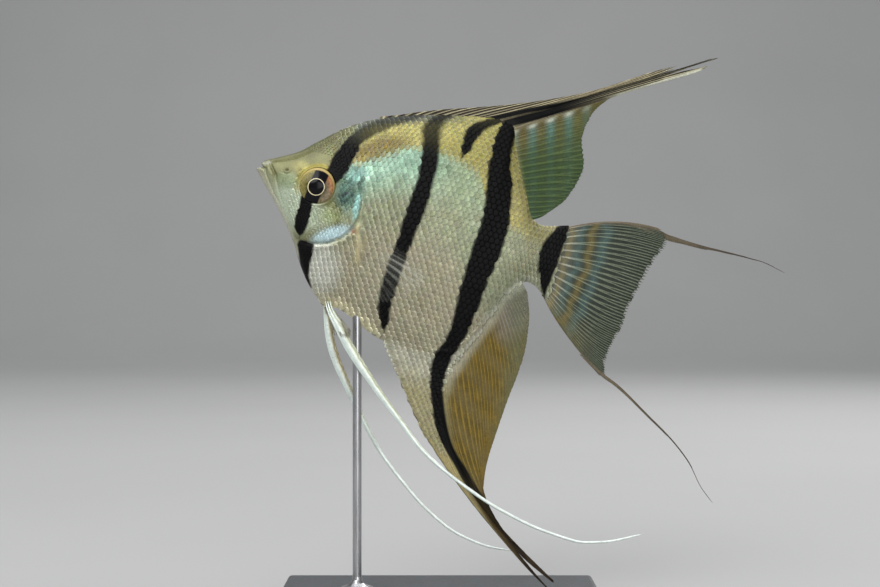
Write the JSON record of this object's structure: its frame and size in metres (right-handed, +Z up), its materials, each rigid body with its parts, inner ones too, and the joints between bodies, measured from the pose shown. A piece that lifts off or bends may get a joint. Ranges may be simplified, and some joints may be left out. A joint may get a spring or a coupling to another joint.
{
  "type": "freshwater angelfish model on display stand",
  "caption": "Life-size museum model of a swimming freshwater angelfish with long trailing fins, held above a flat base by a rod.",
  "frame": {"origin": "middle of the underside of the stand's base", "axes": "+Z up, -X towards the fish's snout, -Y towards its left side"},
  "size_m": [0.1485, 0.05, 0.1557],
  "materials": {
    "skin": "satin",
    "gill_cover": "satin",
    "eyes": "glossy",
    "upright_fins": "satin",
    "tail_fin": "satin",
    "pectoral_fins": "satin",
    "pelvic_fins": "satin",
    "base_paint": "satin",
    "rod_steel": "brushed"
  },
  "bodies": {
    "root": {"head": "skin", "lower_jaw": "skin", "gill_cover_left": "gill_cover", "gill_cover_right": "gill_cover", "trunk": "skin", "tail_stalk": "skin", "eye_left": "eyes", "eye_right": "eyes", "dorsal_fin_spines": "upright_fins", "dorsal_fin_blade": "upright_fins", "dorsal_fin_soft": "upright_fins", "anal_fin_front": "upright_fins", "anal_fin_streamer": "upright_fins", "anal_fin_soft": "upright_fins", "caudal_fin": "tail_fin", "caudal_streamer_upper": "tail_fin", "caudal_streamer_lower": "tail_fin", "pectoral_fin_left": "pectoral_fins", "pectoral_fin_right": "pectoral_fins", "pelvic_fin_left": "pelvic_fins", "pelvic_fin_right": "pelvic_fins", "pelvic_streamer_left_1": "pelvic_fins", "pelvic_streamer_left_2": "pelvic_fins", "pelvic_streamer_right_1": "pelvic_fins", "pelvic_streamer_right_2": "pelvic_fins", "stand_base": "base_paint", "stand_rod": "rod_steel"}
  },
  "joints": []
}
